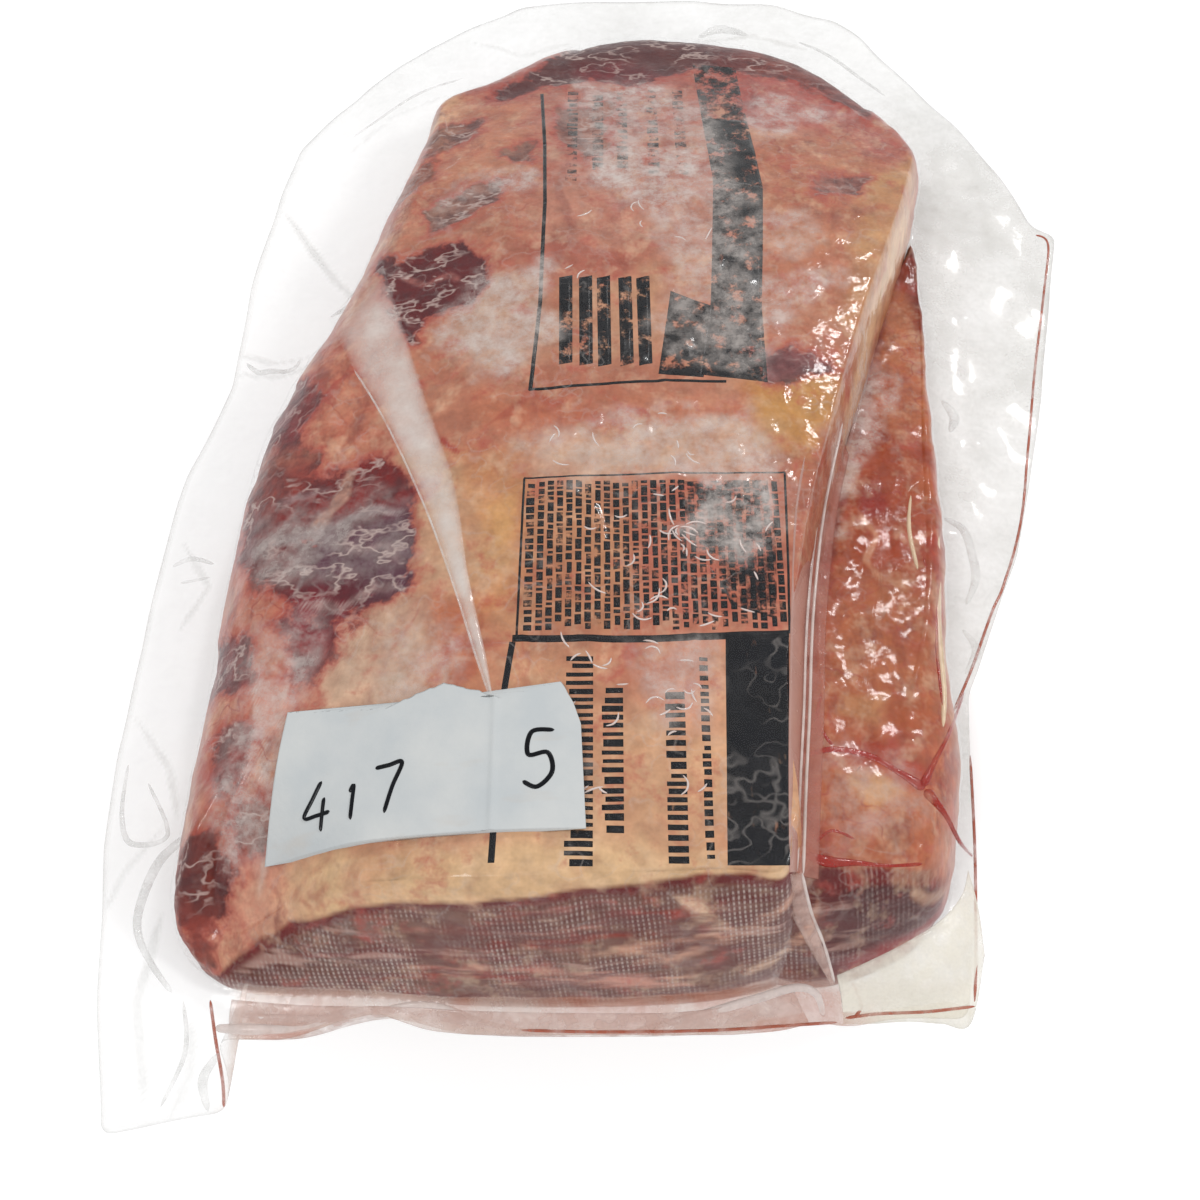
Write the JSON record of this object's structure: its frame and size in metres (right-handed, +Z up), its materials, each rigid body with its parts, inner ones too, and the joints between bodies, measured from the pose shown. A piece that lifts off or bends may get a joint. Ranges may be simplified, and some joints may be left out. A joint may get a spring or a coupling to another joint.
{
  "type": "vacuum-packed raw beef brisket",
  "caption": "Raw beef brisket slab, fat cap up and cut square at one end, shrink-wrapped in clear film with a blank paper label.",
  "frame": {"origin": "under the middle of the pack's bounding box, on the surface that it rests on", "axes": "+Y along the slab's length, from the cut face to the rounded far end; +X across it, towards the lower muscle that shows as a ledge; +Z up through the fat cap"},
  "size_m": [0.2741, 0.404, 0.048],
  "materials": {
    "meat_under_film": "raw beef fat and lean seen through clear glossy shrink film",
    "label_paper": null
  },
  "bodies": {
    "root": {"brisket_pack": "meat_under_film", "paper_label": "label_paper"}
  },
  "joints": []
}
